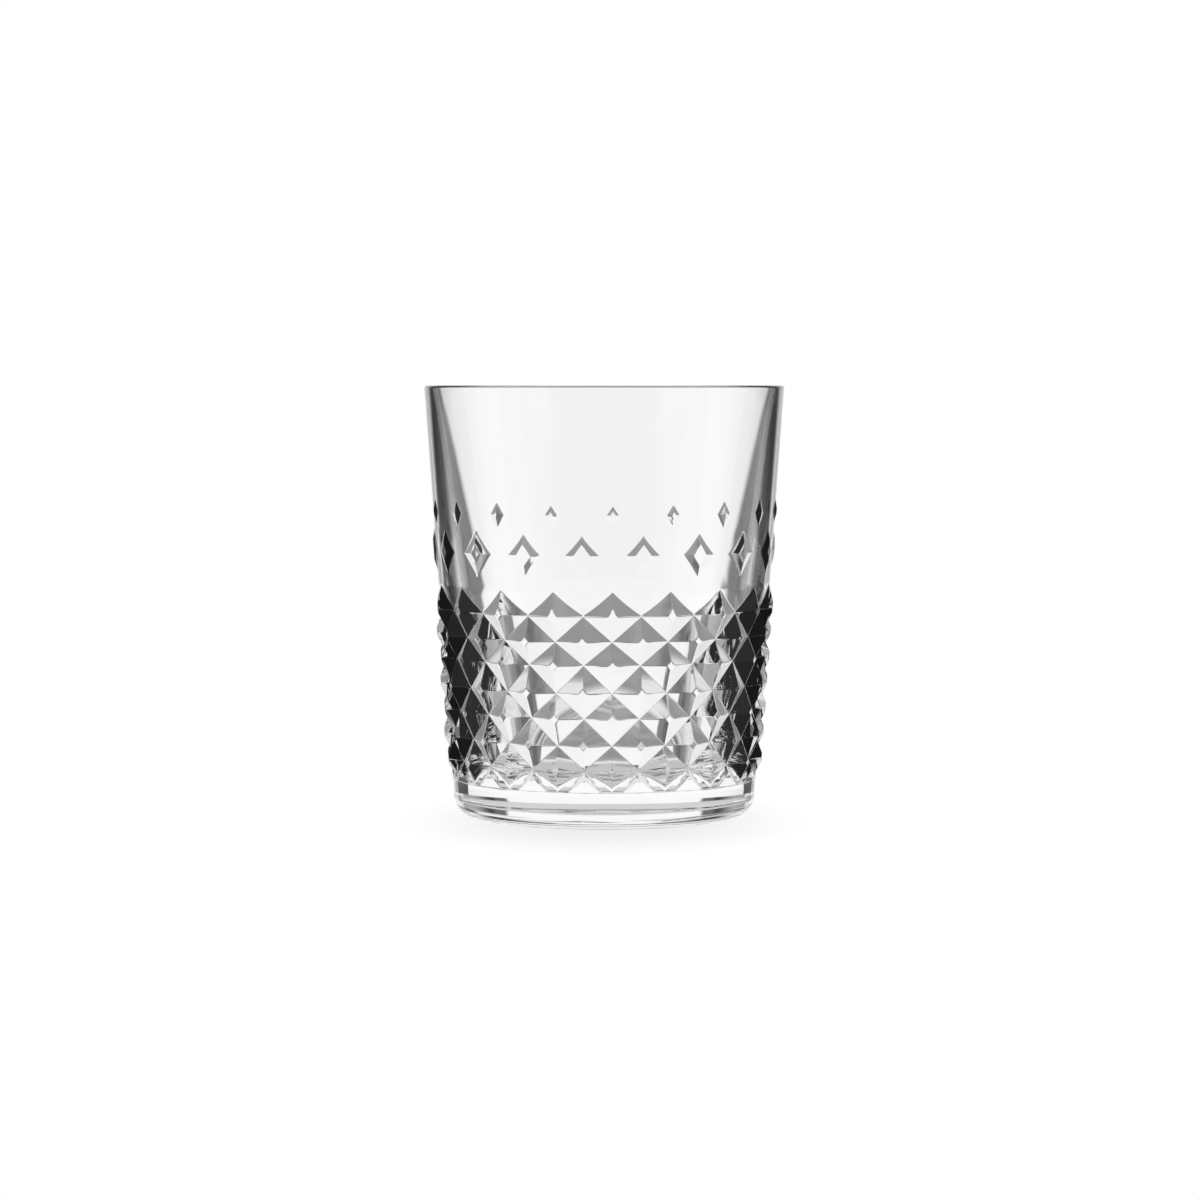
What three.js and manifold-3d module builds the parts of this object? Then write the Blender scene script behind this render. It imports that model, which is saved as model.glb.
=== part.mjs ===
// A double old-fashioned whiskey tumbler in clear pressed glass.
//
// It is one piece of glass: a tapered wall, a thick solid base that stands on a narrow ring,
// and raised diamond studs pressed into the outside. Two rows of separate diamonds sit below
// the plain upper band. Under them a closed net of diamonds runs down to the plain base band.
//
// Units are millimetres, +Z is up, and the origin is on the axis at the standing plane.

import * as THREE from 'three';
import { ConvexGeometry } from 'three/addons/geometries/ConvexGeometry.js';
import { mergeVertices } from 'three/addons/utils/BufferGeometryUtils.js';
import Module from 'manifold-3d';

// ---- Driving dimensions ------------------------------------------------------------------

const HEIGHT = 102.4;
const RIM_RADIUS = 42.8; // outside of the lip
const OUTER_SLOPE = 0.07; // radius lost per millimetre of drop, outside
const LIP_WALL = 1.9; // wall thickness at the lip
const INNER_SLOPE = 0.137; // radius lost per millimetre of drop, inside
const LIP_ROUNDING = 0.6;

const BASE_THICKNESS = 10.4; // glass under the middle of the cup floor
const FLOOR_ROUNDING = 6.5; // fillet between the inner wall and the floor
const FLOOR_DISH = 0.6; // the floor rises this much from its middle to its fillet
const HEEL_ROUNDING = 5.0;
const RING_INNER_RADIUS = 27.5; // inner edge of the flat standing ring
const PUNT_RISE = 0.9; // hollow under the base, inside the ring
const PUNT_BEVEL = 2.2;

const COLUMNS = 18; // diamonds round the glass in each row
const PHASE_DEGREES = -7.3; // turn of the first column from -Y towards +X
const STUD_RISE = 1.2; // flat top of a net diamond above the plain wall line
const VALLEY_DEPTH = 0.7; // crossings of the net below the plain wall line
const VALLEY_STRIP = 0.16; // feet of the studs below the floor of the valleys between them
const STUD_FLAT = 0.19; // size of the flat top as a share of the diamond
const STUD_ROOT = 1.6; // how far each stud reaches into the wall

// Levels of the net's crossings, from the top corner of the first row to the bottom corner
// of the last. The diamonds of one row are centred on a level and end on the two next to it.
const NET_LEVELS = [55.6, 49.75, 43.9, 38.5, 32.05, 26.2, 19.9, 14.2, 9.0];
const BAND_TOP = 9.0; // level at which the plain base band is back on the wall line
const HIDDEN_LEVEL = 3.8; // bottom corner of the half diamonds that the band cuts off
const TRIM_RISE = 0.3; // the cone that trims them is this far off the wall at the net

// The separate diamonds: level, half height, half width, rise, share of flat top, column shift.
const LARGE_DIAMOND = { level: 63.6, halfHeight: 5.1, halfWidth: 4.5, rise: 0.6, flat: 0.5, shift: 0 };
const SMALL_DIAMOND = { level: 72.8, halfHeight: 3.0, halfWidth: 2.0, rise: 0.52, flat: 0.22, shift: 1 };

const SEGMENTS = 4 * COLUMNS; // facets round the lathed body
const SLIVER = 0.006; // edges and steps below this are merged away after joining
const LIP_STEPS = 3;
const HEEL_STEPS = 3;
const FILLET_STEPS = 3;

const DEGREE = Math.PI / 180;
const PHASE = PHASE_DEGREES * DEGREE;
const HALF_COLUMN = Math.PI / COLUMNS;

// ---- Wall lines --------------------------------------------------------------------------

const outerRadius = (z) => RIM_RADIUS - OUTER_SLOPE * (HEIGHT - z);
const innerRadius = (z) => RIM_RADIUS - LIP_WALL - INNER_SLOPE * (HEIGHT - z);
const valleyRadius = (z) => outerRadius(z) - VALLEY_DEPTH;
const netFootRadius = (z) => valleyRadius(z) - VALLEY_STRIP;
const looseFootRadius = (z) => outerRadius(z) - VALLEY_STRIP;

// Points of an arc from one angle to another, both ends included.
function arcPoints(centreX, centreY, radius, from, to, steps) {
  const points = [];
  for (let i = 0; i <= steps; i += 1) {
    const angle = from + ((to - from) * i) / steps;
    points.push(new THREE.Vector2(
      centreX + radius * Math.cos(angle),
      centreY + radius * Math.sin(angle),
    ));
  }
  return points;
}

// Half section of the glass, from the middle of the underside round the lip to the cup floor.
function bodyProfile() {
  const heelX = outerRadius(HEEL_ROUNDING) - HEEL_ROUNDING;
  const lipX = outerRadius(HEIGHT) - LIP_ROUNDING;
  const lipInnerX = innerRadius(HEIGHT) + LIP_ROUNDING;
  const lipZ = HEIGHT - LIP_ROUNDING;
  const floorZ = BASE_THICKNESS + FLOOR_DISH;
  const filletZ = floorZ + FLOOR_ROUNDING;
  const filletX = innerRadius(filletZ) - FLOOR_ROUNDING;
  return [
    new THREE.Vector2(0, PUNT_RISE),
    new THREE.Vector2(RING_INNER_RADIUS - PUNT_BEVEL, PUNT_RISE),
    new THREE.Vector2(RING_INNER_RADIUS, 0),
    ...arcPoints(heelX, HEEL_ROUNDING, HEEL_ROUNDING, -Math.PI / 2, 0, HEEL_STEPS),
    new THREE.Vector2(outerRadius(BAND_TOP), BAND_TOP),
    new THREE.Vector2(valleyRadius(NET_LEVELS[7]), NET_LEVELS[7]),
    new THREE.Vector2(valleyRadius(NET_LEVELS[1]), NET_LEVELS[1]),
    new THREE.Vector2(outerRadius(NET_LEVELS[0]), NET_LEVELS[0]),
    ...arcPoints(lipX, lipZ, LIP_ROUNDING, 0, Math.PI / 2, LIP_STEPS),
    ...arcPoints(lipInnerX, lipZ, LIP_ROUNDING, Math.PI / 2, Math.PI, LIP_STEPS),
    ...arcPoints(filletX, filletZ, FLOOR_ROUNDING, 0, -Math.PI / 2, FILLET_STEPS),
    new THREE.Vector2(0, BASE_THICKNESS),
  ];
}

// Cone that trims the half diamonds above the base band: inside the band at its foot, and a
// little off the wall line where they meet the net.
function trimProfile() {
  const bottom = HIDDEN_LEVEL - 1;
  const top = NET_LEVELS[6];
  return [
    new THREE.Vector2(0, bottom),
    new THREE.Vector2(outerRadius(bottom) - TRIM_RISE, bottom),
    new THREE.Vector2(outerRadius(top) + TRIM_RISE, top),
    new THREE.Vector2(0, top),
  ];
}

function lathe(profile) {
  const geometry = new THREE.LatheGeometry(profile, SEGMENTS, PHASE);
  geometry.rotateX(Math.PI / 2);
  return geometry;
}

// ---- Diamond studs -----------------------------------------------------------------------

// A point at a radius, an angle from -Y towards +X, and a level.
function polar(radius, angle, z) {
  return new THREE.Vector3(radius * Math.sin(angle), -radius * Math.cos(angle), z);
}

// One diamond centred on angle 0: a low pyramid of four flat faces with a small flat top.
function studGeometry(stud) {
  const { level, up, down, side, topRadius, flat } = stud;
  const crown = [
    polar(topRadius, 0, level + up * flat),
    polar(topRadius, 0, level - down * flat),
    new THREE.Vector3(topRadius * Math.sin(side) * flat, -topRadius, level),
    new THREE.Vector3(-topRadius * Math.sin(side) * flat, -topRadius, level),
  ];
  const foot = [
    polar(stud.footRadius(level + up), 0, level + up),
    polar(stud.footRadius(level - down), 0, level - down),
    polar(stud.footRadius(level), side, level),
    polar(stud.footRadius(level), -side, level),
  ];
  const root = foot.map((point) => {
    const inward = new THREE.Vector3(point.x, point.y, 0).setLength(STUD_ROOT);
    return point.clone().sub(inward);
  });
  return new ConvexGeometry([...crown, ...foot, ...root]);
}

// A diamond of the net, centred on one of its levels. The top corners of the first row end on
// the plain wall and all the others in the valleys.
function netStud(index) {
  const level = NET_LEVELS[index];
  const below = index + 1 < NET_LEVELS.length ? NET_LEVELS[index + 1] : HIDDEN_LEVEL;
  return {
    level,
    up: NET_LEVELS[index - 1] - level,
    down: level - below,
    side: HALF_COLUMN,
    topRadius: outerRadius(level) + STUD_RISE,
    flat: STUD_FLAT,
    footRadius: (z) => (z >= NET_LEVELS[0] ? looseFootRadius(z) : netFootRadius(z)),
    shift: index % 2,
  };
}

// A separate diamond standing on the plain wall.
function looseStud({ level, halfHeight, halfWidth, rise, flat, shift }) {
  return {
    level,
    up: halfHeight,
    down: halfHeight,
    side: halfWidth / outerRadius(level),
    topRadius: outerRadius(level) + rise,
    flat,
    footRadius: looseFootRadius,
    shift,
  };
}

// ---- Solids ------------------------------------------------------------------------------

const wasm = await Module();
wasm.setup();

function toSolid(geometry) {
  const bare = geometry.clone();
  bare.deleteAttribute('normal');
  bare.deleteAttribute('uv');
  const merged = mergeVertices(bare, 1e-5);
  const mesh = new wasm.Mesh({
    numProp: 3,
    vertProperties: new Float32Array(merged.attributes.position.array),
    triVerts: new Uint32Array(merged.index.array),
  });
  return new wasm.Manifold(mesh);
}

function toGeometry(solid) {
  const mesh = solid.getMesh();
  const geometry = new THREE.BufferGeometry();
  geometry.setAttribute('position', new THREE.BufferAttribute(mesh.vertProperties, 3));
  geometry.setIndex(new THREE.BufferAttribute(mesh.triVerts, 1));
  geometry.computeVertexNormals();
  return geometry;
}

// Every copy of one diamond round the glass, joined to the solid given.
function addRow(solid, stud, trim) {
  const base = studGeometry(stud);
  let joined = solid;
  for (let column = 0; column < COLUMNS; column += 1) {
    const angle = PHASE + HALF_COLUMN * (2 * column + stud.shift);
    let copy = toSolid(base.clone().rotateZ(angle));
    if (trim) {
      copy = copy.intersect(trim);
    }
    joined = joined.add(copy);
  }
  return joined;
}

function tumblerSolid() {
  const lastRow = NET_LEVELS.length - 1;
  const trim = toSolid(lathe(trimProfile()));
  let solid = toSolid(lathe(bodyProfile()));
  for (let index = 1; index < lastRow; index += 1) {
    solid = addRow(solid, netStud(index));
  }
  solid = addRow(solid, netStud(lastRow), trim);
  solid = addRow(solid, looseStud(LARGE_DIAMOND));
  solid = addRow(solid, looseStud(SMALL_DIAMOND));
  return solid.asOriginal().simplify(SLIVER);
}

// ---- The part ----------------------------------------------------------------------------

const clearGlass = new THREE.MeshStandardMaterial({
  color: 0xf4f8f8,
  roughness: 0.04,
  metalness: 0,
});

const glass = new THREE.Mesh(toGeometry(tumblerSolid()), clearGlass);
glass.name = 'tumbler_glass';

const tumbler = new THREE.Group();
tumbler.name = 'whiskey_tumbler';
tumbler.add(glass);

export default tumbler;
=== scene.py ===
"""Clear pressed-glass whiskey tumbler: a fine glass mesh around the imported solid.

The glass is one closed surface. Its outside is laid out diamond by diamond, so that every
ridge, valley and flat top runs along mesh edges, and the facets between them are flat.
Lengths are in millimetres until the mesh is made, and then in metres.
"""

import math

import bmesh
import bpy
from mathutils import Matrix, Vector


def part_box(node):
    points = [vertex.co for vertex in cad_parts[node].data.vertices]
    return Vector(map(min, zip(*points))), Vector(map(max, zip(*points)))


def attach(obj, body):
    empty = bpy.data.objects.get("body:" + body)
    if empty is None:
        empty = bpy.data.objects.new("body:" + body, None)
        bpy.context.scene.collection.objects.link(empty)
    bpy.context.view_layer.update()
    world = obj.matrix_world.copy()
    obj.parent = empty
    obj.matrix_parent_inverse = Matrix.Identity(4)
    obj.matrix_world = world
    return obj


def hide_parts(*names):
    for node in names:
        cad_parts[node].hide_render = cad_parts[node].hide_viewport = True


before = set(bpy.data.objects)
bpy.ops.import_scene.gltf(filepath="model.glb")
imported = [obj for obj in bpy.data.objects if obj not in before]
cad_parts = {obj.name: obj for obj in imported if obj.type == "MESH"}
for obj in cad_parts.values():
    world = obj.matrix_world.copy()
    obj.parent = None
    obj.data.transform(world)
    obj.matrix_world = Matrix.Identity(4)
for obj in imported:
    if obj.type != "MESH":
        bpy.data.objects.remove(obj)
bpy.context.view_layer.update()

NODE = "tumbler_glass"
MM = 0.001

# ---- Sizes of the glass, in millimetres --------------------------------------------------

BOX_LOW, BOX_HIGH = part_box(NODE)
BOX_GAP = 0.02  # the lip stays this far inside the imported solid's box
HEIGHT = (BOX_HIGH.z - BOX_LOW.z) / MM
RIM_RADIUS = (BOX_HIGH.x - BOX_LOW.x) / 2 / MM - BOX_GAP
OUTER_SLOPE = 0.07  # radius lost per millimetre of drop, outside
LIP_WALL = 1.9
INNER_SLOPE = 0.137  # radius lost per millimetre of drop, inside
LIP_ROUNDING = 0.6
BASE_THICKNESS = 10.4
FLOOR_ROUNDING = 6.5  # fillet between the inner wall and the cup floor
FLOOR_DISH = 0.6
HEEL_ROUNDING = 5.0
RING_INNER_RADIUS = 27.5  # inner edge of the flat standing ring
RING_EDGE = 0.35  # width of the soft inner edge of the ring
PUNT_RISE = 0.9  # hollow under the base, inside the ring
PUNT_BEVEL = 2.2

COLUMNS = 18
HALVES = 2 * COLUMNS
HALF = math.pi / COLUMNS
PHASE = math.radians(-7.3)
STUD_RISE = 1.2  # flat top of a net diamond above the plain wall line
STUD_FLAT = 0.19  # size of the flat top as a share of the diamond
VALLEY_DEPTH = 0.7
FOOT_DEPTH = VALLEY_DEPTH + 0.16  # feet of the facets, where neighbours meet
FLOOR_DEPTH = FOOT_DEPTH + 0.14  # the plain wall sinks to here, below every facet
FIRST_FOOT = 0.05  # top corners of the first row, just under the plain wall
NET_LEVELS = [55.6, 49.75, 43.9, 38.5, 32.05, 26.2, 19.9, 14.2, 9.0]
NET_TOP_LEVEL, FIRST_LEVEL = NET_LEVELS[0], NET_LEVELS[1]
TRIM_LEVEL, LAST_VALLEY, BAND_TOP = NET_LEVELS[6], NET_LEVELS[7], NET_LEVELS[8]
HIDDEN_LEVEL = 3.8  # bottom corner of the half diamonds that the base band cuts off
TRIM_RISE = 0.3

LOOSE_FOOT = 0.03  # feet of the separate diamonds, just under the plain wall
LARGE_LEVEL, LARGE_HALF_HEIGHT, LARGE_HALF_WIDTH = 63.6, 5.1, 4.5
LARGE_RISE, LARGE_FLAT = 0.6, 0.5
SMALL_LEVEL, SMALL_HALF_HEIGHT, SMALL_HALF_WIDTH = 72.8, 3.0, 2.0
SMALL_RISE, SMALL_FLAT = 0.52, 0.22

RIDGE_ROUND = 0.15
VALLEY_ROUND = 0.07
CROWN_ROUND = 0.10
WALL_ROUND = 0.14


def outer(z):
    return RIM_RADIUS - OUTER_SLOPE * (HEIGHT - z)


def inner(z):
    return RIM_RADIUS - LIP_WALL - INNER_SLOPE * (HEIGHT - z)


# ---- Smooth joins: exact away from the join, rounded within it ----------------------------

def soft_abs(x, reach):
    x = abs(x)
    return x if x > reach else (x * x + reach * reach) / (2 * reach)


def soft_max(a, b, reach):
    h = max(reach - abs(a - b), 0.0) / reach
    return max(a, b) + h * h * reach / 4


def soft_min(a, b, reach):
    return -soft_max(-a, -b, reach)


# ---- Diamonds ----------------------------------------------------------------------------

class Diamond:
    """A low pyramid of four flat facets with a small flat top, on the tapered wall.

    Its top corner is top_lift higher above its foot than the other three, which is 0 except
    in the first row of the net.
    """

    def __init__(self, level, up, down, half_angle, rise, flat, foot, parity):
        self.level, self.up, self.down = level, up, down
        self.half_angle, self.parity = half_angle, parity
        self.foot = outer(level) - foot
        self.crown = outer(level) + rise
        self.apex = self.foot + (self.crown - self.foot) / (1 - flat)
        self.side = (self.apex / self.foot - math.cos(half_angle)) / math.sin(half_angle)
        self.top_lift = 0.0

    def centre(self, u):
        return 2 * round((u - self.parity) / 2) + self.parity

    def radius(self, u, z):
        angle = (u - self.centre(u)) * HALF
        dz = z - self.level
        reach = self.up if dz > 0 else self.down
        share = soft_abs(dz / reach, RIDGE_ROUND / self.up)
        fall = self.apex - self.foot
        if dz > 0:
            fall -= self.top_lift
        along = self.apex + OUTER_SLOPE * dz - fall * share
        across = soft_abs(math.sin(angle), RIDGE_ROUND / self.foot)
        facet = along / (math.cos(angle) + self.side * across)
        top = (self.crown + OUTER_SLOPE * dz) / math.cos(angle)
        return soft_min(facet, top, CROWN_ROUND)


def net_rows():
    rows = []
    levels = NET_LEVELS + [HIDDEN_LEVEL]
    for i in range(1, len(NET_LEVELS)):
        rows.append(Diamond(levels[i], levels[i - 1] - levels[i], levels[i] - levels[i + 1],
                            HALF, STUD_RISE, STUD_FLAT, FOOT_DEPTH, i % 2))
    rows[0].top_lift = FOOT_DEPTH - FIRST_FOOT
    return rows


def loose_diamond(level, half_height, half_width, rise, flat, parity):
    return Diamond(level, half_height, half_height, half_width / outer(level), rise, flat,
                   LOOSE_FOOT, parity)


NET = net_rows()
LAST = NET[-1]
LARGE = loose_diamond(LARGE_LEVEL, LARGE_HALF_HEIGHT, LARGE_HALF_WIDTH, LARGE_RISE,
                      LARGE_FLAT, 0)
SMALL = loose_diamond(SMALL_LEVEL, SMALL_HALF_HEIGHT, SMALL_HALF_WIDTH, SMALL_RISE,
                      SMALL_FLAT, 1)


def wall(z):
    """The plain wall, which sinks out of sight under the net."""
    if z >= NET_TOP_LEVEL or z <= BAND_TOP:
        return outer(z)
    if z > FIRST_LEVEL:
        return outer(z) - FLOOR_DEPTH * (NET_TOP_LEVEL - z) / (NET_TOP_LEVEL - FIRST_LEVEL)
    if z < LAST_VALLEY:
        return outer(z) - FLOOR_DEPTH * (z - BAND_TOP) / (LAST_VALLEY - BAND_TOP)
    return outer(z) - FLOOR_DEPTH


def trim(z):
    """The cone that cuts the last half diamonds off above the base band."""
    low = HIDDEN_LEVEL - 1
    return outer(z) + TRIM_RISE * (2 * (z - low) / (TRIM_LEVEL - low) - 1)


LOOSE_MARGIN = 1.0  # a diamond is asked for its radius only this near to it, or to the net
NET_MARGIN = 0.6


def skin(u, z):
    """Outside radius at column position u (in half columns) and level z."""
    r = wall(z)
    if z > NET_TOP_LEVEL + LOOSE_MARGIN:
        for stud in (LARGE, SMALL):
            if abs(z - stud.level) < stud.up + LOOSE_MARGIN:
                r = soft_max(r, stud.radius(u, z), WALL_ROUND)
        return r
    studs = [s for s in NET
             if s.level - s.down - NET_MARGIN < z < s.level + s.up + NET_MARGIN]
    facets = []
    for stud in studs:
        value = stud.radius(u, z)
        if stud is LAST:
            value = soft_min(value, trim(z), VALLEY_ROUND)
        facets.append(value)
    facets.sort()
    for value in facets:
        r = soft_max(r, value, VALLEY_ROUND)
    return r


# ---- Mesh of the glass -------------------------------------------------------------------

U_KEYS = 100000  # vertices closer than one part in this many of a half column are one
Z_KEYS = 10000  # and closer than one part in this many of a millimetre
SLOPE_STEP = 0.004  # step for the slopes that give the normals


def u_place(u):
    return round((u % HALVES) * U_KEYS) % (HALVES * U_KEYS)


class Glass:
    """Vertices found by their place on the glass, so that neighbouring patches share them."""

    def __init__(self):
        self.index = {}
        self.points = []
        self.normals = []
        self.faces = []
        self.skin_cache = {}

    def _add(self, key, radius, angle, z, normal):
        if key not in self.index:
            s, c = math.sin(angle), math.cos(angle)
            nr, na, nz = normal
            self.index[key] = len(self.points)
            self.points.append((radius * s * MM, -radius * c * MM, z * MM))
            self.normals.append((nr * s + na * c, -nr * c + na * s, nz))
        return self.index[key]

    def on_skin(self, u, z):
        u_key = u_place(u)
        z_key = round(z * Z_KEYS)
        key = ("skin", u_key, z_key)
        if key in self.index:
            return self.index[key]
        place = (u_key % (2 * U_KEYS), z_key)
        if place not in self.skin_cache:
            step = SLOPE_STEP
            r = skin(u, z)
            across = (skin(u + step, z) - skin(u - step, z)) / (2 * step * HALF)
            along = (skin(u, z + step) - skin(u, z - step)) / (2 * step)
            normal = Vector((1.0, -across / r, -along)).normalized()
            self.skin_cache[place] = (r, tuple(normal))
        r, normal = self.skin_cache[place]
        return self._add(key, r, PHASE + u * HALF, z, normal)

    def on_profile(self, zone, row, u, radius, z, normal):
        if radius < 1e-6:
            return self._add((zone, row), 0.0, 0.0, z, (0.0, 0.0, normal[1]))
        return self._add((zone, row, u_place(u)), radius, PHASE + u * HALF, z,
                         (normal[0], 0.0, normal[1]))

    def patch(self, grid):
        """Faces between the rows of a grid of vertex numbers."""
        for low, high in zip(grid, grid[1:]):
            for i in range(len(low) - 1):
                loop = []
                for v in (low[i], low[i + 1], high[i + 1], high[i]):
                    if v not in loop:
                        loop.append(v)
                if len(loop) > 2:
                    self.faces.append(loop)


# Stops of the mesh lines from 0 to 1 across a facet, close together at its edges, round the
# flat top, and along the cut of the base band.
NEAR, FAR = 0.03, 0.06
STOPS = [0.0, NEAR, FAR, 0.26, 0.5, 0.74, 1 - FAR, 1 - NEAR, 1.0]
CROWN_STOPS = [0.0, 0.1, STUD_FLAT - 0.03, STUD_FLAT, STUD_FLAT + 0.03, 0.45, 0.72,
               1 - FAR, 1 - NEAR, 1.0]
BAND_STOPS = [0.0, NEAR, FAR, 0.16, 0.26, 0.38, 0.5, 0.58, 0.64, 0.69, 0.74, 0.79, 0.86,
              1 - FAR, 1 - NEAR, 1.0]


def across_stops(s):
    """The places of STOPS along a facet at share s of the way from the apex to the edge."""
    if s <= 0:
        return [0.0] * len(STOPS)
    near, far = min(NEAR, s / 8), min(FAR, s / 4)
    span = s - 2 * far
    mid = [far + span * (x - FAR) / (1 - 2 * FAR) for x in STOPS[3:-3]]
    return [0.0, near, far] + mid + [s - far, s - near, s]


def net_quadrant(glass, stud, centre, side, upward, stops):
    height = stud.up if upward else -stud.down
    grid = []
    for s in stops:
        row = []
        for a in across_stops(s):
            row.append(glass.on_skin(centre + side * a, stud.level + height * (s - a)))
        grid.append(row)
    glass.patch(grid)


def build_net(glass):
    for stud in NET:
        stops = BAND_STOPS if stud is LAST else CROWN_STOPS
        for column in range(COLUMNS):
            centre = 2 * column + stud.parity
            for side in (-1, 1):
                net_quadrant(glass, stud, centre, side, True, stops)
                if stud is not LAST:
                    net_quadrant(glass, stud, centre, side, False, stops)


SCALLOP_TOP = 57.6  # levels where one stretch of the outside mesh hands over to the next
LARGE_TOP = 69.2
SMALL_TOP = 76.8
BAND_ROWS = (8.0, 6.8, 5.5)  # mesh rows down the base band


def build_scallop(glass):
    """The wall between the upper halves of the first net row and the large diamonds."""
    rises = [0.0, 0.04, 0.1, 0.25, 0.5, 0.75, 1.0]  # shares of the way up from the net
    for half in range(HALVES):
        for t0, t1 in zip(rises, rises[1:]):
            rows = []
            for t in (t0, t1):
                row = []
                for x in STOPS:
                    share = x if half % 2 == 0 else 1 - x
                    z = FIRST_LEVEL + (NET_TOP_LEVEL - FIRST_LEVEL) * share
                    row.append(glass.on_skin(half + x, z + (SCALLOP_TOP - z) * t))
                rows.append(row)
            glass.patch(rows)


def build_tile(glass, stud, low, high):
    """A separate diamond and the plain wall round it, out to the next column.

    Mesh lines run outwards from the middle of the diamond to its foot, and on to the edge of
    the tile. The shares place them from the upper or lower corner, at 0, to the side corner.
    """
    width = stud.half_angle / HALF
    flat = 1 - (stud.crown - stud.foot) / (stud.apex - stud.foot)
    inside = [0.0, flat * 0.5, flat - 0.06, flat, flat + 0.06, 0.5 + flat / 2, 0.94, 1.0]
    beyond = [0.06, 0.14, 0.45, 1.0]
    beside = [0.55, 0.65, 0.76, 0.87, 0.94, 0.97, 1.0]
    shares = [x / 2 for x in STOPS] + beside
    for column in range(COLUMNS):
        centre = 2 * column + stud.parity
        for side in (-1, 1):
            for height, edge in ((stud.up, high - stud.level), (-stud.down, low - stud.level)):
                grid = []
                for s in inside:
                    grid.append([glass.on_skin(centre + side * width * s * q,
                                               stud.level + height * s * (1 - q))
                                 for q in shares])
                for t in beyond:
                    row = []
                    for q in shares:
                        out_u = min(1.0, 2 * q)
                        out_z = edge * min(1.0, 2 - 2 * q)
                        u = width * q + (out_u - width * q) * t
                        z = height * (1 - q) + (out_z - height * (1 - q)) * t
                        row.append(glass.on_skin(centre + side * u, stud.level + z))
                    grid.append(row)
                glass.patch(grid)


def ring_stops(stops):
    """Column positions all round, mirrored from one half column to the next."""
    places = []
    for half in range(HALVES):
        part = stops if half % 2 == 0 else [1 - x for x in reversed(stops)]
        places += [half + x for x in part[:-1]]
    return places + [float(HALVES)]


def arc(cx, cz, radius, start, end, steps):
    """Points and normals of an arc of the half section."""
    out = []
    for i in range(steps + 1):
        a = math.radians(start + (end - start) * i / steps)
        out.append((cx + radius * math.cos(a), cz + radius * math.sin(a),
                    (math.cos(a), math.sin(a))))
    return out


OUTER_LEAN = 4  # degrees that the outer and the inner wall lean, rounded
INNER_LEAN = 7
BAND_STEPS = 7  # steps of the mesh down each stretch of the half section
LIP_STEPS = 7
WALL_STEPS = 17
FILLET_STEPS = 10
FLOOR_STEPS = 8
HEEL_STEPS = 9
WALL_START = 0.3  # the rows of the inner wall start this far below the lip's rounding


def lip_profile(lip_z):
    profile = arc(outer(HEIGHT) - LIP_ROUNDING, lip_z, LIP_ROUNDING, -OUTER_LEAN, 90, LIP_STEPS)
    profile += arc(inner(HEIGHT) + LIP_ROUNDING, lip_z, LIP_ROUNDING, 90, 180 - INNER_LEAN,
                   LIP_STEPS)
    return profile


def cup_profile(lip_z):
    """The inner wall, its fillet and the dished floor, from the lip to the axis."""
    fillet_z = BASE_THICKNESS + FLOOR_DISH + FLOOR_ROUNDING
    fillet_x = inner(fillet_z) - FLOOR_ROUNDING
    draft = Vector((-1.0, INNER_SLOPE)).normalized()
    top = lip_z - WALL_START
    profile = []
    for i in range(1, WALL_STEPS):
        z = top + (fillet_z - top) * i / WALL_STEPS
        profile.append((inner(z), z, tuple(draft)))
    for x, z, n in arc(fillet_x, fillet_z, FLOOR_ROUNDING, -INNER_LEAN, -90, FILLET_STEPS):
        profile.append((x, z, (-n[0], -n[1])))
    for i in range(1, FLOOR_STEPS + 1):
        x = fillet_x * (1 - i / FLOOR_STEPS)
        rise = FLOOR_DISH * (x / fillet_x) ** 2
        tilt = Vector((-2 * FLOOR_DISH * x / fillet_x ** 2, 1.0)).normalized()
        profile.append((x, BASE_THICKNESS + rise, tuple(tilt)))
    return profile


def build_upper(glass):
    """Plain band, lip, inner wall and cup floor, from the small diamonds inwards."""
    places = ring_stops(STOPS)
    rows = [[glass.on_skin(u, SMALL_TOP) for u in places]]
    lip_z = HEIGHT - LIP_ROUNDING
    for i in range(1, BAND_STEPS):
        z = SMALL_TOP + (lip_z - SMALL_TOP) * i / BAND_STEPS
        rows.append([glass.on_skin(u, z) for u in places])
    for j, (x, z, n) in enumerate(lip_profile(lip_z) + cup_profile(lip_z)):
        rows.append([glass.on_profile("upper", j, u, x, z, n) for u in places])
    glass.patch(rows)


RING_ROUNDING, RING_TURN = 2.0, 22  # soft inner edge of the standing ring, in mm and degrees
BEVEL_END, BEVEL_SHARE = 0.3, 0.9  # last row of the bevel before the flat hollow


def foot_profile():
    """Heel, standing ring, bevel and the flat of the hollow, from the band to the axis."""
    heel_x = outer(HEEL_ROUNDING) - HEEL_ROUNDING
    profile = arc(heel_x, HEEL_ROUNDING, HEEL_ROUNDING, -OUTER_LEAN, -90, HEEL_STEPS)
    ring_x = RING_INNER_RADIUS + RING_EDGE
    profile.append((ring_x, 0.0, (0.0, -1.0)))
    edge = arc(ring_x, -RING_ROUNDING, RING_ROUNDING, 90, 90 + RING_TURN, 3)
    profile += [(x, z, (-n[0], -n[1])) for x, z, n in edge[1:]]
    edge_x, edge_z, _ = profile[-1]
    inner_x = RING_INNER_RADIUS - PUNT_BEVEL
    down = Vector((-(PUNT_RISE - edge_z), -(edge_x - inner_x))).normalized()
    profile.append((inner_x + BEVEL_END, edge_z + (PUNT_RISE - edge_z) * BEVEL_SHARE,
                    tuple(down)))
    for i in range(FLOOR_STEPS + 1):
        profile.append((inner_x * (1 - i / FLOOR_STEPS), PUNT_RISE, (0.0, -1.0)))
    return profile


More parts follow.
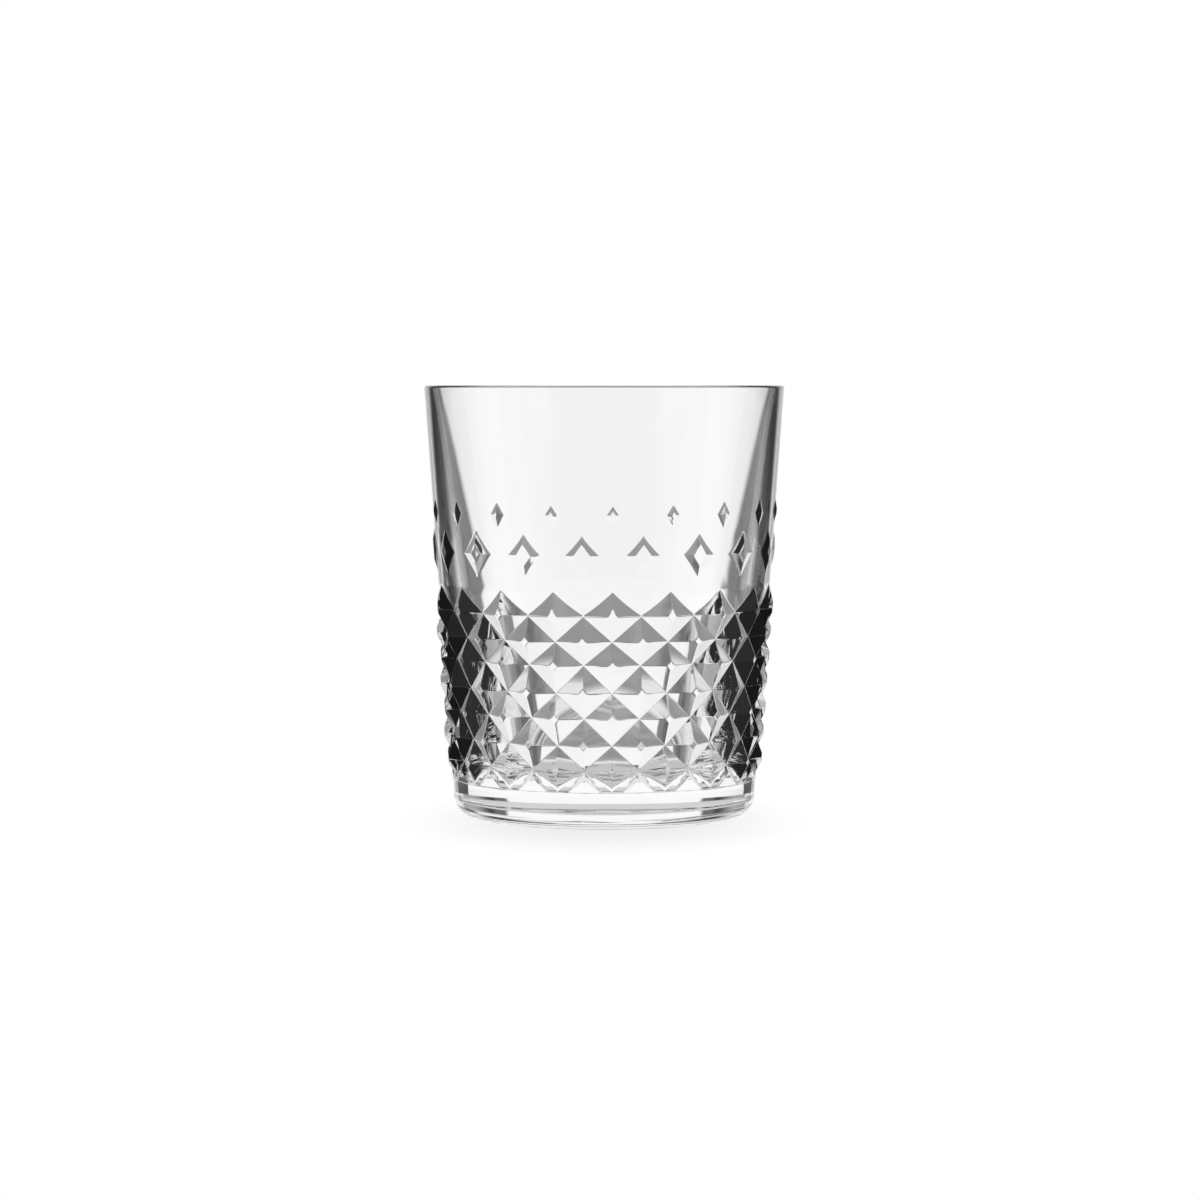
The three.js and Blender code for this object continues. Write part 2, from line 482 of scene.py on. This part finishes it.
def build_lower(glass):
    """Base band, heel, standing ring and the hollow under the base."""
    places = ring_stops(BAND_STOPS)
    rows = [[glass.on_skin(u, z) for u in places] for z in (BAND_TOP,) + BAND_ROWS]
    for j, (x, z, n) in enumerate(foot_profile()):
        rows.append([glass.on_profile("lower", j, u, x, max(z, 0.0), n) for u in places])
    glass.patch(rows)


def glass_object():
    """The whole glass as one mesh, with the normals of the true surface."""
    glass = Glass()
    build_net(glass)
    build_scallop(glass)
    build_tile(glass, LARGE, SCALLOP_TOP, LARGE_TOP)
    build_tile(glass, SMALL, LARGE_TOP, SMALL_TOP)
    build_upper(glass)
    build_lower(glass)

    mesh = bpy.data.meshes.new("tumbler_body")
    mesh.from_pydata(glass.points, [], glass.faces)
    bm = bmesh.new()
    bm.from_mesh(mesh)
    bmesh.ops.recalc_face_normals(bm, faces=bm.faces)
    open_edges = sum(1 for e in bm.edges if len(e.link_faces) != 2)
    print("glass mesh:", len(bm.verts), "vertices,", len(bm.faces), "faces,",
          open_edges, "open edges, volume", round(bm.calc_volume() * 1e6, 2), "cm3")
    bm.to_mesh(mesh)
    bm.free()
    for poly in mesh.polygons:
        poly.use_smooth = True
    mesh.normals_split_custom_set_from_vertices(glass.normals)
    obj = bpy.data.objects.new("tumbler_body", mesh)
    bpy.context.scene.collection.objects.link(obj)
    return obj


# ---- Node helpers ------------------------------------------------------------------------

def node(tree, kind, inputs=(), **settings):
    """A new node, with sockets linked and plain values set."""
    made = tree.nodes.new(kind)
    for name, value in settings.items():
        setattr(made, name, value)
    for name, value in dict(inputs).items():
        if isinstance(value, bpy.types.NodeSocket):
            tree.links.new(value, made.inputs[name])
        else:
            made.inputs[name].default_value = value
    return made


def maths(tree, operation, a, b=0.0):
    return node(tree, "ShaderNodeMath", {0: a, 1: b}, operation=operation).outputs[0]


def ramp(tree, source, x0, x1, y0, y1):
    """Smooth step from y0 at x0 to y1 at x1."""
    made = node(tree, "ShaderNodeMapRange",
                {"Value": source, "From Min": x0, "From Max": x1, "To Min": y0, "To Max": y1},
                interpolation_type="SMOOTHSTEP")
    return made.outputs["Result"]


def blend(tree, factor, a, b):
    made = node(tree, "ShaderNodeMix", {"Factor": factor, "A": a, "B": b}, data_type="FLOAT")
    return made.outputs["Result"]


# ---- Glass material ----------------------------------------------------------------------

REFRACTION = 1.52
TINT = (0.975, 0.985, 0.982, 1)
CLEAR = (1.0, 1.0, 1.0, 1)
SMEAR_SCALE = 38.0
SMEAR_RANGE = (0.35, 0.75)  # values of the noise where the smear starts and is full
SMEAR_ROUGHNESS = 0.008
RIPPLE_SCALE = 55.0
RIPPLE_STRENGTH, RIPPLE_DEPTH = 0.06, 0.0004
RELIEF_DEPTH = 1.3  # every part of the outside lies less than this below the wall line

# Light Path counts are whole numbers, so a test against 1.5 means two or more. They count from
# the eye: a ray inside the far wall has crossed three surfaces.


def plain_wall_normal(tree):
    """Normal of the wall without its relief, and 1 where the point lies on the relief."""
    point = tree.nodes.new("ShaderNodeNewGeometry").outputs["Position"]
    flat = node(tree, "ShaderNodeVectorMath", {0: point, 1: (1, 1, 0)}, operation="MULTIPLY")
    radius = node(tree, "ShaderNodeVectorMath", {0: flat.outputs[0]}, operation="LENGTH")
    outward = node(tree, "ShaderNodeVectorMath", {0: flat.outputs[0]}, operation="NORMALIZE")
    lifted = node(tree, "ShaderNodeVectorMath", {0: outward.outputs[0], 1: (0, 0, -OUTER_SLOPE)},
                  operation="ADD")
    normal = node(tree, "ShaderNodeVectorMath", {0: lifted.outputs[0]}, operation="NORMALIZE")
    z = node(tree, "ShaderNodeSeparateXYZ", {"Vector": point}).outputs["Z"]
    skin_radius = maths(tree, "ADD", maths(tree, "MULTIPLY", z, OUTER_SLOPE),
                        (outer(0) - RELIEF_DEPTH) * MM)
    outside = maths(tree, "GREATER_THAN", radius.outputs["Value"], skin_radius)
    above_band = maths(tree, "GREATER_THAN", z, BAND_TOP * MM)
    return normal.outputs[0], maths(tree, "MULTIPLY", outside, above_band)


def surface_normal(tree, rippled):
    """The rippled surface, or the plain wall for light that has been inside the glass before.

    Light counts as such after its second crossing of a surface, or once it has been turned
    back inside the glass. The relief of the far side would break it up into fine noise.
    """
    plain, on_relief = plain_wall_normal(tree)
    path = tree.nodes.new("ShaderNodeLightPath").outputs
    crossed = maths(tree, "GREATER_THAN", path["Transmission Depth"], 1.5)
    both = maths(tree, "MULTIPLY", path["Transmission Depth"], path["Glossy Depth"])
    turned_back = maths(tree, "GREATER_THAN", both, 0.5)
    later = maths(tree, "MAXIMUM", crossed, turned_back)
    soften = maths(tree, "MULTIPLY", later, on_relief)
    from_inside = tree.nodes.new("ShaderNodeNewGeometry").outputs["Backfacing"]
    inward = node(tree, "ShaderNodeVectorMath", {0: plain, "Scale": -1.0}, operation="SCALE")
    facing = node(tree, "ShaderNodeMix", {"Factor": from_inside}, data_type="VECTOR")
    tree.links.new(plain, facing.inputs["A"])
    tree.links.new(inward.outputs[0], facing.inputs["B"])
    normal = node(tree, "ShaderNodeMix", {"Factor": soften}, data_type="VECTOR")
    tree.links.new(rippled, normal.inputs["A"])
    tree.links.new(facing.outputs["Result"], normal.inputs["B"])
    return normal.outputs["Result"]


def glass_material():
    """Clear glass with a faint tint, a trace of smear and the slight ripple of pressing."""
    mat = bpy.data.materials.new("clear_pressed_glass")
    mat.use_nodes = True
    tree = mat.node_tree
    shader = tree.nodes["Principled BSDF"]
    shader.inputs["Transmission Weight"].default_value = 1.0
    shader.inputs["IOR"].default_value = REFRACTION
    shader.inputs["Metallic"].default_value = 0.0
    place = tree.nodes.new("ShaderNodeTexCoord").outputs["Object"]
    smear = node(tree, "ShaderNodeTexNoise",
                 {"Vector": place, "Scale": SMEAR_SCALE, "Detail": 3.0, "Roughness": 0.55})
    rough = ramp(tree, smear.outputs["Fac"], *SMEAR_RANGE, 0.0, SMEAR_ROUGHNESS)
    tree.links.new(rough, shader.inputs["Roughness"])
    tint = node(tree, "ShaderNodeMix", {"Factor": smear.outputs["Fac"]}, data_type="RGBA")
    tint.inputs["A"].default_value = TINT
    tint.inputs["B"].default_value = CLEAR
    tree.links.new(tint.outputs["Result"], shader.inputs["Base Color"])
    ripple = node(tree, "ShaderNodeTexNoise",
                  {"Vector": place, "Scale": RIPPLE_SCALE, "Detail": 2.0, "Roughness": 0.4})
    bump = node(tree, "ShaderNodeBump", {"Height": ripple.outputs["Fac"],
                                         "Strength": RIPPLE_STRENGTH, "Distance": RIPPLE_DEPTH})
    tree.links.new(surface_normal(tree, bump.outputs["Normal"]), shader.inputs["Normal"])
    return mat


# ---- Studio ------------------------------------------------------------------------------

# Directions are in degrees: round from +Y, which is ahead of the main view, and up from the
# horizon. Levels are strengths of the light, where 1 is the white of the background. Each
# pair is a range over which one level gives way to the next.

PANEL_HALF = 12.5  # half width of a white panel below the horizon
HIGH_PANEL_HALF = 29.0  # and above it
PANEL_WIDENING = (-2.3, 1.7)
PANEL_EDGE = (-1.2, 1.2)  # from the edge of a panel
FLAG_CORE = (5.0, 7.0)  # and further out
FLAG_EDGE_LEVEL = 0.12
FLAG_SHARE = 0.3  # the core of a flag against its edge
PANEL_TOP = (9.0, 12.0)  # the panels and flags end here
SIDE_LEVEL = 0.42  # the flags get no darker than this beside and behind the glass
SIDE = (35.0, 50.0)

ROOM_LEVEL = 0.27  # above the panels
OVERHEAD_LEVEL = 0.75
OVERHEAD = (22.0, 34.0)
SPARKLE_LEVEL = 0.85  # above the panels, for light turned back by one wall or the base
RISING_LEVEL = 0.65  # and for light that only passed one wall or the base

FLOOR_LINE = (-12.9, -10.9)  # the floor starts below this
AHEAD_LEVEL = 0.27
AHEAD_EDGE_LEVEL = 0.07
AHEAD_EDGE = (19.0, 28.0)
FLOOR_LEVEL = 0.85
SHADE_LEVEL = 0.55  # straight below, for light that passed one wall or the base
UNDERFOOT = (-46.0, -28.0)

MIRRORED_GAP_LEVEL = 0.12  # what the outside of the glass mirrors, beside the panel ahead
MIRRORED_GAP = (27.0, 34.0)
MIRRORED_LEVEL = 0.6  # and from the sides and behind
MIRRORED_SIDE = (72.0, 110.0)
BEHIND_LEVEL = 0.4  # behind the main view, for light turned back inside the glass
BEHIND = (135.0, 150.0)


class Ray:
    """Where a ray of light comes from, and how it got to the eye."""

    def __init__(self, tree):
        direction = tree.nodes.new("ShaderNodeTexCoord").outputs["Generated"]
        axes = node(tree, "ShaderNodeSeparateXYZ", {"Vector": direction}).outputs
        azimuth = maths(tree, "ARCTAN2", axes["X"], axes["Y"])
        self.round = maths(tree, "ABSOLUTE", maths(tree, "MULTIPLY", azimuth, 180 / math.pi))
        self.lift = maths(tree, "MULTIPLY", maths(tree, "ARCSINE", axes["Z"]), 180 / math.pi)
        path = tree.nodes.new("ShaderNodeLightPath").outputs
        self.seen_directly = path["Is Camera Ray"]
        self.turned_back = maths(tree, "GREATER_THAN", path["Glossy Depth"], 0.5)
        self.two_surfaces = maths(tree, "LESS_THAN", path["Transmission Depth"], 2.5)
        self.mirrored = maths(tree, "MULTIPLY", path["Is Glossy Ray"],
                              maths(tree, "LESS_THAN", path["Ray Depth"], 2.5))


def panel_level(tree, ray):
    """White panels ahead, behind and at each side, with dark flags between them."""
    quarter = maths(tree, "PINGPONG", ray.round, 45.0)
    half = ramp(tree, ray.lift, *PANEL_WIDENING, PANEL_HALF, HIGH_PANEL_HALF)
    off = maths(tree, "SUBTRACT", quarter, half)
    edge = ramp(tree, off, *PANEL_EDGE, 1.0, FLAG_EDGE_LEVEL)
    flag = ramp(tree, off, *FLAG_CORE, 1.0, FLAG_SHARE)
    return maths(tree, "MULTIPLY", edge, flag)


def overhead_level(tree, ray):
    """The dim room above the panels, brighter higher up."""
    overhead = ramp(tree, ray.lift, *OVERHEAD, ROOM_LEVEL, OVERHEAD_LEVEL)
    sparkle = maths(tree, "MULTIPLY", ray.two_surfaces, ray.turned_back)
    overhead = blend(tree, sparkle, overhead, SPARKLE_LEVEL)
    rising = maths(tree, "SUBTRACT", ray.two_surfaces, sparkle)
    return blend(tree, rising, overhead, RISING_LEVEL)


def floor_level(tree, ray):
    """The floor: dim ahead, dark to each side of that, and pale beside and behind."""
    ahead = ramp(tree, ray.round, *AHEAD_EDGE, AHEAD_LEVEL, AHEAD_EDGE_LEVEL)
    around = ramp(tree, ray.round, *SIDE, 0.0, 1.0)
    level = blend(tree, around, ahead, FLOOR_LEVEL)
    underfoot = blend(tree, ray.two_surfaces, FLOOR_LEVEL, SHADE_LEVEL)
    return blend(tree, ramp(tree, ray.lift, *UNDERFOOT, 0.0, 1.0), underfoot, level)


def mirrored_level(tree, ray):
    """The soft room that the outside of the glass mirrors."""
    room = ramp(tree, ray.round, *MIRRORED_GAP, 1.0, MIRRORED_GAP_LEVEL)
    return blend(tree, ramp(tree, ray.round, *MIRRORED_SIDE, 0.0, 1.0), room, MIRRORED_LEVEL)


def studio_world():
    """The light of the studio, by direction, on an even white background."""
    world = bpy.data.worlds.new("studio")
    bpy.context.scene.world = world
    world.use_nodes = True
    tree = world.node_tree
    background = tree.nodes["Background"]
    ray = Ray(tree)

    above = ramp(tree, ray.lift, *PANEL_TOP, 0.0, 1.0)
    level = blend(tree, above, panel_level(tree, ray), overhead_level(tree, ray))
    side = ramp(tree, ray.round, *SIDE, 0.0, SIDE_LEVEL)
    level = maths(tree, "MAXIMUM", level, side)
    below = ramp(tree, ray.lift, *FLOOR_LINE, 1.0, 0.0)
    level = blend(tree, below, level, floor_level(tree, ray))
    level = blend(tree, ray.mirrored, level, mirrored_level(tree, ray))
    behind = ramp(tree, ray.round, *BEHIND, 0.0, 1.0)
    level = blend(tree, maths(tree, "MULTIPLY", ray.turned_back, behind), level, BEHIND_LEVEL)
    level = blend(tree, ray.seen_directly, level, 1.0)

    background.inputs["Color"].default_value = (1, 1, 1, 1)
    tree.links.new(level, background.inputs["Strength"])
    tree.links.new(background.outputs[0], tree.nodes["World Output"].inputs["Surface"])


FLOOR_REACH = 30.0
FLOOR_DROP = 0.0002  # the floor lies this far under the standing ring
CONTACT_LEVEL = 0.85
CONTACT_SHADE = (0.020, 0.070)
SHADE_FORWARD = 0.010  # the middle of the shade lies this far in front of the axis
SHADE_NARROWING = 1.35  # its depth over its width


def plain_mesh_object(name, points, faces):
    mesh = bpy.data.meshes.new(name)
    mesh.from_pydata(points, [], faces)
    obj = bpy.data.objects.new(name, mesh)
    bpy.context.scene.collection.objects.link(obj)
    return obj


def empty_material(name):
    mat = bpy.data.materials.new(name)
    mat.use_nodes = True
    mat.node_tree.nodes.clear()
    return mat


def finish_material(mat, surface):
    out = mat.node_tree.nodes.new("ShaderNodeOutputMaterial")
    mat.node_tree.links.new(surface, out.inputs["Surface"])


def studio_floor():
    """A plain pale floor with the soft contact shade of the glass, for the camera only."""
    far, z = FLOOR_REACH, -FLOOR_DROP
    corners = [(-far, -far, z), (far, -far, z), (far, far, z), (-far, far, z)]
    floor = plain_mesh_object("studio_floor", corners, [(0, 1, 2, 3)])
    floor.visible_diffuse = False
    floor.visible_glossy = False
    floor.visible_transmission = False
    floor.visible_shadow = False
    mat = empty_material("pale_floor")
    tree = mat.node_tree
    place = tree.nodes.new("ShaderNodeTexCoord").outputs["Object"]
    moved = node(tree, "ShaderNodeVectorMath", {0: place, 1: (0, SHADE_FORWARD, 0)},
                 operation="ADD")
    drawn = node(tree, "ShaderNodeVectorMath", {0: moved.outputs[0], 1: (SHADE_NARROWING, 1, 0)},
                 operation="MULTIPLY")
    distance = node(tree, "ShaderNodeVectorMath", {0: drawn.outputs[0]}, operation="LENGTH")
    shade = ramp(tree, distance.outputs["Value"], *CONTACT_SHADE, CONTACT_LEVEL, 1.0)
    finish_material(mat, node(tree, "ShaderNodeEmission", {"Strength": shade}).outputs[0])
    floor.data.materials.append(mat)


CARD_RADIUS = 0.150
CARD_SIDES = 96
CARD_TOP = 0.011
WHITE_CARD_BOTTOM, DARK_CARD_BOTTOM = -0.014, -0.030
DARK_CARD_START, DARK_CARD_END = 43, 66  # degrees round from +Y, on both sides
WHITE_CARD_LEVEL, DARK_CARD_LEVEL = 1.0, 0.06


def card_material(name, strength):
    """Seen by light that passed one wall or the solid base, and clear to light from the cup."""
    mat = empty_material(name)
    tree = mat.node_tree
    glow = node(tree, "ShaderNodeEmission", {"Strength": strength})
    clear = tree.nodes.new("ShaderNodeBsdfTransparent")
    crossings = tree.nodes.new("ShaderNodeLightPath").outputs["Transmission Depth"]
    through_cup = maths(tree, "GREATER_THAN", crossings, 2.5)
    either = node(tree, "ShaderNodeMixShader", {0: through_cup, 1: glow.outputs[0],
                                                2: clear.outputs[0]})
    finish_material(mat, either.outputs[0])
    return mat


def studio_card():
    """A low ring of white and dark cards round the glass, which light up its solid base."""
    points, faces, dark = [], [], []
    for i in range(CARD_SIDES):
        start, end = (2 * math.pi * k / CARD_SIDES for k in (i, i + 1))
        from_ahead = abs(math.degrees(math.atan2(math.cos(start), math.sin(start))))
        dark.append(DARK_CARD_START < from_ahead < DARK_CARD_END)
        bottom = DARK_CARD_BOTTOM if dark[-1] else WHITE_CARD_BOTTOM
        corners = ((start, bottom), (end, bottom), (end, CARD_TOP), (start, CARD_TOP))
        for angle, z in corners:
            points.append((CARD_RADIUS * math.cos(angle), CARD_RADIUS * math.sin(angle), z))
        faces.append(tuple(range(4 * i, 4 * i + 4)))
    card = plain_mesh_object("studio_card", points, faces)
    card.visible_camera = False
    card.visible_diffuse = False
    card.visible_shadow = False
    card.data.materials.append(card_material("white_card", WHITE_CARD_LEVEL))
    card.data.materials.append(card_material("dark_card", DARK_CARD_LEVEL))
    for face, is_dark in zip(card.data.polygons, dark):
        face.material_index = int(is_dark)


CAMERA_DISTANCE = 0.84
FRAME_WIDTH = 0.2857  # at the axis of the glass
AIM_DROP = 0.0511  # the camera is level with the lip and looks at this far below it
CAMERA_SIDE = -0.0010  # the glass stands a little to the right of the middle
SENSOR_WIDTH = 36.0


def studio_camera():
    data = bpy.data.cameras.new("photo_camera")
    data.sensor_width = SENSOR_WIDTH
    data.lens = SENSOR_WIDTH * CAMERA_DISTANCE / FRAME_WIDTH
    camera = bpy.data.objects.new("photo_camera", data)
    bpy.context.scene.collection.objects.link(camera)
    camera.location = (CAMERA_SIDE, -CAMERA_DISTANCE, HEIGHT * MM)
    target = Vector((CAMERA_SIDE, 0.0, HEIGHT * MM - AIM_DROP))
    camera.rotation_euler = (target - camera.location).to_track_quat("-Z", "Y").to_euler()
    bpy.context.scene.camera = camera


def render_look():
    scene = bpy.context.scene
    scene.view_settings.view_transform = "Standard"
    scene.view_settings.look = "None"
    scene.cycles.max_bounces = 24
    scene.cycles.transmission_bounces = 24
    scene.cycles.glossy_bounces = 12
    scene.cycles.caustics_reflective = True
    scene.cycles.caustics_refractive = True


body = glass_object()
body.data.materials.append(glass_material())
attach(body, "root")
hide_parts(NODE)

studio_world()
studio_floor()
studio_card()
studio_camera()
render_look()
